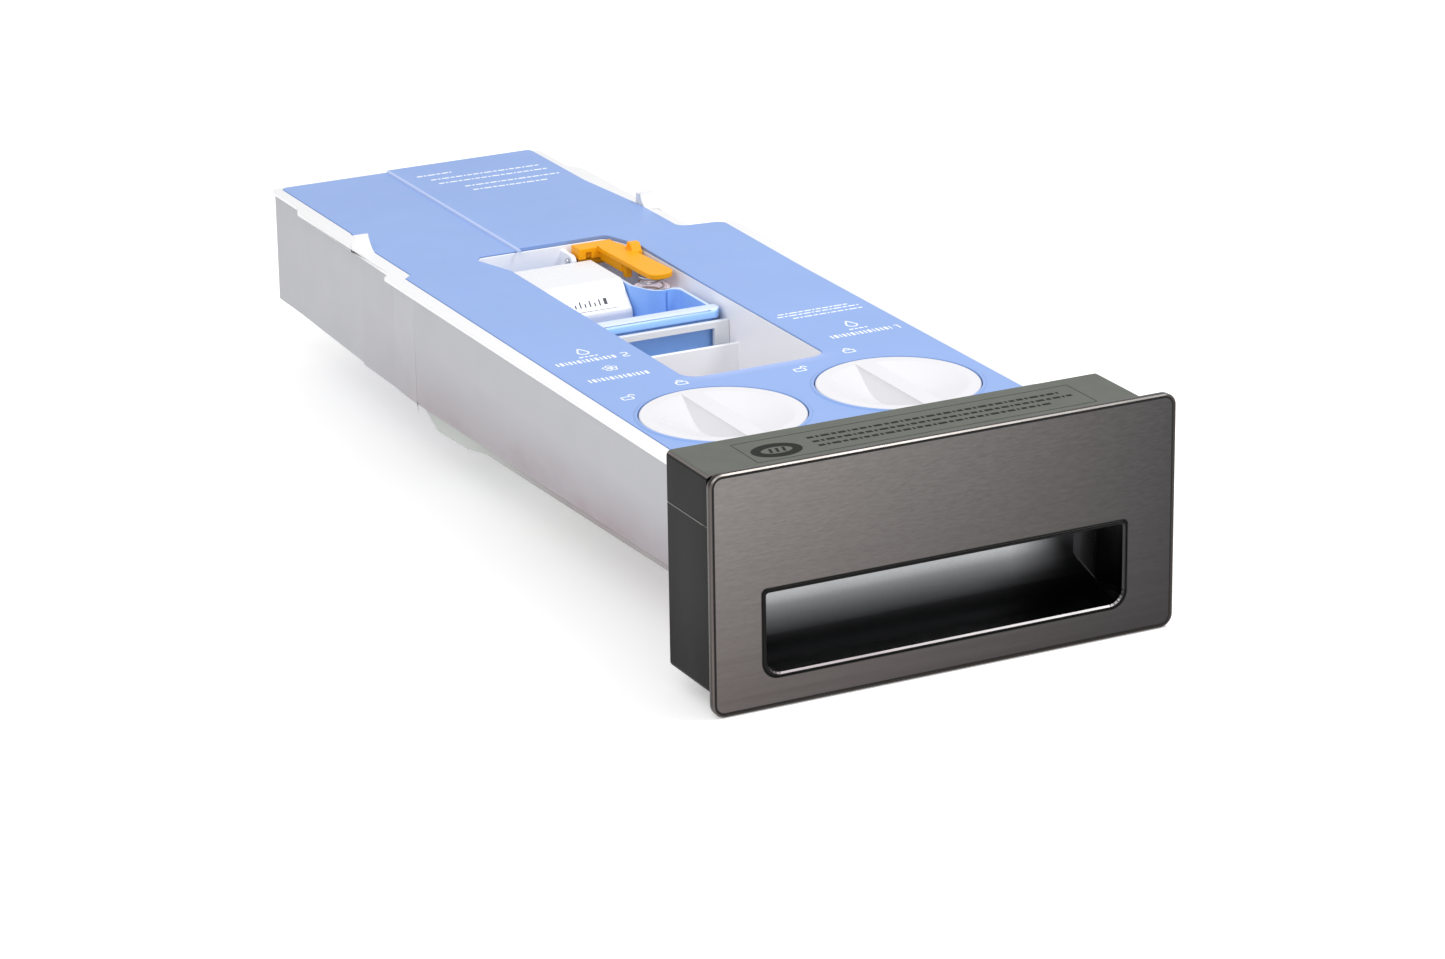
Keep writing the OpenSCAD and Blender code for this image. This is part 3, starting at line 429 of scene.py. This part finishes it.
class Print:
    """Closed slabs, strips and bands, mostly raised marks, gathered into one mesh."""

    def __init__(self, height=0.0):
        self.verts, self.faces, self.height = [], [], height

    def slab(self, points, lift):
        """points: (x, y, z) in millimetres on the surface; lift: outward direction."""
        n, start = len(points), len(self.verts)
        up = Vector(lift).normalized()
        for base in (-MARK_DEPTH, self.height):
            for p in points:
                self.verts.append(at(*p) + up * base * MM)
        self.faces.append([start + i for i in range(n)])
        self.faces.append([start + n + i for i in range(n)])
        for i in range(n):
            j = (i + 1) % n
            self.faces.append([start + i, start + j, start + n + j, start + n + i])

    def bar(self, a, b, width, z, lift=(0, 0, 1)):
        """A straight bar between two (x, y) points on a level surface."""
        d = Vector((b[0] - a[0], b[1] - a[1])).normalized() * width / 2
        n = Vector((-d.y, d.x))
        corners = [(a[0] + n.x, a[1] + n.y), (a[0] - n.x, a[1] - n.y),
                   (b[0] - n.x, b[1] - n.y), (b[0] + n.x, b[1] + n.y)]
        self.slab([(x, y, z) for x, y in corners], lift)

    def dashes(self, a, b, width, z, lengths, space=0.8):
        """A row of dashes from a towards b, like a line of small print with no letters."""
        full = Vector((b[0] - a[0], b[1] - a[1]))
        step, total, used = full.normalized(), full.length, 0.0
        for size in itertools.cycle(lengths):
            if used + size > total:
                break
            p = Vector(a) + step * used
            q = Vector(a) + step * (used + size)
            self.bar(tuple(p), tuple(q), width, z)
            used += size + space

    def ring(self, cx, cy, rx, ry, width, z, start=0, end=360, steps=12):
        """Part of an elliptical ring on a level surface, as one closed strip."""
        whole, first = end - start == 360, len(self.verts)
        sections = steps if whole else steps + 1
        for i in range(sections):
            t = math.radians(start + (end - start) * i / steps)
            for side, lift in ((0.5, -MARK_DEPTH), (0.5, self.height),
                               (-0.5, self.height), (-0.5, -MARK_DEPTH)):
                self.verts.append(at(cx + (rx + side * width) * math.cos(t),
                                     cy + (ry + side * width) * math.sin(t), z + lift))
        for i in range(steps):
            a, b = first + 4 * i, first + 4 * ((i + 1) % sections)
            self.faces += [[a + k, a + (k + 1) % 4, b + (k + 1) % 4, b + k] for k in range(4)]
        if not whole:
            last = first + 4 * steps
            self.faces += [[first + k for k in range(4)], [last + k for k in range(4)]]

    def drop(self, cx, cy, size, width, z):
        """Outline of a drop, its tip towards the rear."""
        tip = (cx, cy + size)
        r = size * 0.52
        self.ring(cx, cy - size * 0.25, r, r, width, z, start=-210, end=30, steps=16)
        for side in (-1, 1):
            foot = (cx + side * r * 0.87, cy - size * 0.25 + r * 0.5)
            self.bar(foot, tip, width, z)

    def padlock(self, cx, cy, size, z, open_side=0):
        """Outline of a padlock: a rounded body, and a shackle that is shut or swung aside."""
        w, h, line = size * 0.5, size * 0.36, size * 0.13
        for a, b in (((-w, -h), (w, -h)), ((-w, h), (w, h)), ((-w, -h), (-w, h)), ((w, -h), (w, h))):
            self.bar((cx + a[0], cy + a[1]), (cx + b[0], cy + b[1]), line, z)
        self.ring(cx + open_side * size * 0.6, cy + h + size * 0.05, size * 0.28, size * 0.4,
                  line, z, start=0, end=180, steps=10)

    def flower(self, cx, cy, size, width, z):
        """Five small petals round a ring."""
        for k in range(5):
            t = math.radians(90 + 72 * k)
            self.ring(cx + size * 0.62 * math.cos(t), cy + size * 0.62 * math.sin(t),
                      size * 0.34, size * 0.34, width, z)
        self.ring(cx, cy, size * 0.2, size * 0.2, width, z, steps=10)

    def digit(self, cx, cy, size, width, z, strokes):
        """A numeral made of straight strokes on a grid 2 wide and 4 high."""
        for x0, y0, x1, y1 in strokes:
            self.bar((cx + x0 * size / 4, cy + y0 * size / 4),
                     (cx + x1 * size / 4, cy + y1 * size / 4), width, z)

    def band(self, rings):
        """A closed ring whose section joins three or more outlines in X and Z, each with its Y."""
        n, k, start = len(rings[0][0]), len(rings), len(self.verts)
        for outline, y in rings:
            self.verts += [at(x, y, z) for x, z in outline]
        for r in range(k):
            a, b = start + r * n, start + (r + 1) % k * n
            self.faces += [[a + i, a + (i + 1) % n, b + (i + 1) % n, b + i] for i in range(n)]

    def blocks(self, x, y, end, z, high=4.2, space=1.2):
        """A row of small solid blocks where the original carries a word."""
        for wide in itertools.cycle(BLOCKS):
            if x + wide > end:
                break
            self.bar((x, y + high / 2), (x + wide, y + high / 2), high, z)
            x += wide + space

    def build(self, name, look, body):
        return piece(name, look, body, self.verts, self.faces)


def rounded_box(x0, x1, z0, z1, low_r, top_r, steps=16):
    """Outline of a rounded rectangle in X and Z, in millimetres."""
    points = []
    for cx, cz, r, start in ((x1 - low_r, z0 + low_r, low_r, -90), (x1 - top_r, z1 - top_r, top_r, 0),
                             (x0 + top_r, z1 - top_r, top_r, 90), (x0 + low_r, z0 + low_r, low_r, 180)):
        for k in range(steps + 1):
            t = math.radians(start + 90 * k / steps)
            points.append((cx + r * math.cos(t), cz + r * math.sin(t)))
    return points


def sized(node):
    """Edges of a node's box in X and Z, in millimetres."""
    low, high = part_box(node)
    return low.x / MM, high.x / MM, low.z / MM, high.z / MM


def front_outline(inset):
    """Outline of the panel, moved inwards by inset."""
    x0, x1, z0, z1 = sized("panel_frame")
    r = PANEL_RADIUS - inset
    return rounded_box(x0 + inset, x1 - inset, z0 + inset, z1 - inset, r, r)


def mouth_outline(inset):
    """Outline of the pocket's mouth, moved inwards by inset."""
    x0, x1, z0, z1 = sized("handle_pocket")
    return rounded_box(x0 + inset, x1 - inset, z0 + inset, MOUTH_TOP - inset,
                       MOUTH_LOW_RADIUS - inset / 2, MOUTH_TOP_RADIUS - inset / 2)


def lip_outline(out):
    """Outline parallel to the inner edge of the pocket's lip, out mm outside it."""
    x0, x1, z0, z1 = sized("handle_pocket")
    inset = LIP_WIDTH - out
    low_r, top_r = MOUTH_LOW_RADIUS - LIP_WIDTH / 2, MOUTH_TOP_RADIUS - LIP_WIDTH / 2
    return rounded_box(x0 + inset, x1 - inset, z0 + inset, MOUTH_TOP - inset,
                       low_r + out, top_r + out)


def panel_trim():
    """Chamfers with painted highlights on the panel's rim and pocket's lip, and dark joints inside."""
    wide, proud = 0.60, 0.05
    p = Print()
    p.band([(front_outline(-proud), wide), (front_outline(wide), -proud), (front_outline(wide), wide)])
    p.build("rim_chamfer", "bead_steel", "drawer")
    wide, front, back = 0.72, 0.03, 0.80
    p = Print()
    p.band([(lip_outline(wide), front), (lip_outline(-proud), back), (lip_outline(wide), back)])
    p.build("lip_chamfer", "lip_bright", "drawer")
    front, back = 0.36, 0.80
    p = Print()
    p.band([(front_outline(1.35), front), (front_outline(2.0), front), (front_outline(1.7), back)])
    p.band([(mouth_outline(-0.45), front), (mouth_outline(0.0), front), (mouth_outline(-0.2), back)])
    p.build("dark_joints", "gloss_black", "drawer")


def seam():
    """Light line, a painted highlight, where the housing's cap meets its base, along the left side."""
    low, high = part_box("housing_cap")
    z, x, half = low.z / MM, low.x / MM, 0.22
    y0, y1 = (low.y + HALF_LENGTH) / MM + 3.6, (high.y + HALF_LENGTH) / MM - 0.6
    p = Print(0.06)
    p.slab([(x, y0, z - half), (x, y1, z - half), (x, y1, z + half), (x, y0, z + half)],
           (-1, 0, 0))
    p.build("housing_seam", "seam_grey", "drawer")


def housing_label():
    """Dark print on the housing: a frame, three rows of dashes, and a ring with three bars."""
    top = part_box("housing_cap")[1].z / MM
    p = Print(0.06)
    left, right, front, rear, line = -88, 79, 8, 34, 0.3
    for a, b in (((left, front), (right, front)), ((left, rear), (right, rear)),
                 ((left, front), (left, rear)), ((right, front), (right, rear))):
        p.bar(a, b, line, top)
    for y, end in ((26.5, 72), (21.0, 76), (15.5, 60)):
        p.dashes((-55, y), (end, y), 2.1, top, DASHES, 1.1)
    p.ring(-73.5, 19, 9.6, 6.3, 4.4, top, steps=48)
    for x in (-77.0, -73.8, -70.6):
        p.bar((x, 16.6), (x + 1.2, 21.4), 1.3, top)
    p.build("label_print", "print_dark", "drawer")


def cover_prints():
    """White print on the cover: rows of dashes and blocks, two numerals and small icons."""
    flat, pad = COVER_TOP, PAD_TOP
    p = Print(0.05)
    # rear right notes: a heading and four lines
    p.dashes((-19, 528), (2, 528), 1.5, pad, DASHES)
    for y, a, b in ((519, -15, 50), (511, -14, 48), (500, -4, 50), (492, -3, 40)):
        p.dashes((a, y), (b, y - 1), 1.4, pad, DASHES)
    # left of the well
    p.drop(-69, 222.5, 5, 0.8, flat)
    p.dashes((-74, 215), (-62, 215), 1.2, flat, (2.2, 1.4))
    p.blocks(-88, 207.5, -57, flat)
    p.digit(-54.5, 206.8, 5.6, 0.7, flat, TWO)
    p.flower(-68, 194.5, 3.8, 0.55, flat)
    p.blocks(-85, 179, -54, flat)
    # right of the well
    for y, a, b in ((227.5, 36, 76), (224, 34, 80), (219.5, 40, 79)):
        p.dashes((a, y), (b, y), 1.1, flat, DASHES)
    p.drop(59.7, 199, 5, 0.8, flat)
    p.dashes((55, 191.5), (67, 191.5), 1.2, flat, (2.2, 1.4))
    p.blocks(42, 183, 74.5, flat)
    p.digit(76, 182.3, 5.6, 0.7, flat, ONE)
    # closed and open padlocks beside each cap
    p.padlock(-49, 159, 5.2, flat)
    p.padlock(-80, 151.5, 5.2, flat, 1)
    p.padlock(39.5, 163, 5.2, flat)
    p.padlock(6.7, 149.6, 5.2, flat, 1)
    p.build("cover_print", "print_white", "drawer")


def pad_edge():
    """Painted-highlight rounded edge along the left side of the raised pad, rear of the well."""
    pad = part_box("top_cover")[1].z / MM
    profile = [(0.6, 0.05), (0.2, 0.0), (-0.15, -0.25), (-0.4, -0.75), (-0.5, -1.3), (0.6, -1.3)]
    p = Print()
    for x, y in PAD_EDGE:
        p.verts += [at(x + off, y, pad + drop) for off, drop in profile]
    k = len(profile)
    p.faces = [list(range(k)), [k + i for i in range(k)]]
    p.faces += [[i, (i + 1) % k, k + (i + 1) % k, k + i] for i in range(k)]
    p.build("pad_edge", "edge_blue", "drawer")


def insert_mark():
    """Fill mark on the insert's sloped front: a row of ticks, a dark block and a line."""
    top, fold_y, front_y, low = 90.5, 331.0, 319.0, 77.5
    slope = Vector((0, fold_y - front_y, top - low)).normalized()
    out = Vector((0, -slope.z, slope.y))

    def on_slope(x, s):
        return (x, front_y + slope.y * s, low + slope.z * s)

    def patch(p, x0, x1, s0, s1):
        p.slab([on_slope(x0, s0), on_slope(x1, s0), on_slope(x1, s1), on_slope(x0, s1)], out)

    p = Print(0.05)
    patch(p, -9.6, -7.8, 5.2, 8.6)
    for k in range(6):
        patch(p, -25.2 + 2.6 * k, -24.5 + 2.6 * k, 5.0, 8.4 if k % 2 else 7.0)
    patch(p, -28, -2.5, 2.6, 2.85)
    p.build("insert_print", "print_black", "insert_body")


# ---------- springs ----------

def coil_line(length, wire, turns, steps=24):
    """Angle and height of each point along a wound spring whose end turns lie closed."""
    close = 2.3 * wire
    points = []
    for i in range(turns * steps + 1):
        u = i / steps
        if u < 1:
            rise = wire + close * u
        elif u > turns - 1:
            rise = length - wire - close * (turns - u)
        else:
            rise = wire + close + (length - 2 * (wire + close)) * (u - 1) / (turns - 2)
        points.append((2 * math.pi * u, rise))
    return points


def wound_spring(node, axis, wire_mm, turns, sides=8):
    """A helical spring in place of its CAD stand-in, which it hides."""
    low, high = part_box(node)
    along = Vector([float(c == axis) for c in "XYZ"])
    side, wire, play = Vector((1, 0, 0)), wire_mm * MM, 0.03 * MM
    other = along.cross(side)
    length = (high - low).dot(along)
    foot = (low + high) / 2 - along * (length / 2 - play)
    radius = (high - low).x / 2 - wire
    verts, faces = [], []
    for angle, rise in coil_line(length - 2 * play, wire, turns):
        radial = math.cos(angle) * side + math.sin(angle) * other
        for k in range(sides):
            t = 2 * math.pi * k / sides
            outward = radial * (radius + wire * math.cos(t))
            verts.append(foot + outward + along * (rise + wire * math.sin(t)))
    last = len(verts) - sides
    for a in range(0, last, sides):
        b = a + sides
        faces += [[a + k, a + (k + 1) % sides, b + (k + 1) % sides, b + k] for k in range(sides)]
    faces += [list(range(sides)), [last + k for k in range(sides)]]
    obj = piece("wound_" + node, "pin_steel", "drawer", verts, faces)
    for polygon in obj.data.polygons:
        polygon.use_smooth = True
    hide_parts(node)
    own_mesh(obj)


# ---------- stage ----------

LAMP_TARGET = (0, -0.05, 0.05)


def floor():
    """A pale floor just under the panel's lower edge."""
    size, drop = 6.0, 0.0004
    mesh = bpy.data.meshes.new("floor")
    mesh.from_pydata([(-size, -size, 0), (size, -size, 0), (size, size, 0), (-size, size, 0)],
                     [], [(0, 1, 2, 3)])
    obj = bpy.data.objects.new("floor", mesh)
    obj.location.z = -drop
    bpy.context.scene.collection.objects.link(obj)
    look = Nodes("floor_look", (0.93, 0.93, 0.93), 0.6)
    look.paint(look.tones(look.noise(3, detail=2), 0.99, 1.0))
    look.set(Emission_Color=(1, 1, 1, 1), Emission_Strength=0.3)
    obj.data.materials.append(look.mat)


def lamp(name, where, size, power):
    """A rectangular light that faces the drawer and isn't seen itself."""
    data = bpy.data.lights.new(name, "AREA")
    data.shape = "RECTANGLE"
    data.size, data.size_y = size
    data.energy = power
    obj = bpy.data.objects.new(name, data)
    obj.location = where
    obj.rotation_mode = "QUATERNION"
    obj.rotation_quaternion = (Vector(LAMP_TARGET) - Vector(where)).to_track_quat("-Z", "Y")
    obj.visible_camera = False
    bpy.context.scene.collection.objects.link(obj)


def lights():
    """A white sky with a key light above the front right and a fill light from the front left."""
    world = bpy.data.worlds.new("studio")
    world.use_nodes = True
    world.node_tree.nodes["Background"].inputs["Color"].default_value = (1, 1, 1, 1)
    world.node_tree.nodes["Background"].inputs["Strength"].default_value = 0.75
    bpy.context.scene.world = world
    lamp("key", (0.76, -0.60, 1.50), (0.5, 0.5), 13)
    lamp("fill", (-1.10, -0.90, 1.30), (1.2, 1.2), 11)


def camera():
    """The photograph's viewing angle: a long lens from the front left, a little above."""
    azimuth, elevation, roll = -0.466393, 0.340878, -0.014422
    place = at(-960.997, -1692.203, 780.064)
    back = Vector((math.sin(azimuth) * math.cos(elevation),
                   -math.cos(azimuth) * math.cos(elevation), math.sin(elevation)))
    right = Vector((0, 0, 1)).cross(back).normalized()
    up = back.cross(right)
    rolled_right = math.cos(roll) * right + math.sin(roll) * up
    rolled_up = -math.sin(roll) * right + math.cos(roll) * up
    data = bpy.data.cameras.new("camera")
    data.sensor_width = 36.0
    data.lens = 119.32
    data.clip_start, data.clip_end = 0.05, 50
    obj = bpy.data.objects.new("camera", data)
    turn = Matrix((rolled_right, rolled_up, back)).transposed()
    obj.matrix_world = Matrix.Translation(place) @ turn.to_4x4()
    bpy.context.scene.collection.objects.link(obj)
    bpy.context.scene.camera = obj


dress_frame()
panel_trim()
seam()
pad_edge()
housing_label()
cover_prints()
insert_mark()
wound_spring("poppet_spring_left", "Y", 0.4, 6)
wound_spring("poppet_spring_right", "Y", 0.4, 6)
wound_spring("lever_spring", "Z", 0.6, 14)
floor()
lights()
camera()
bpy.context.scene.view_settings.view_transform = "Standard"
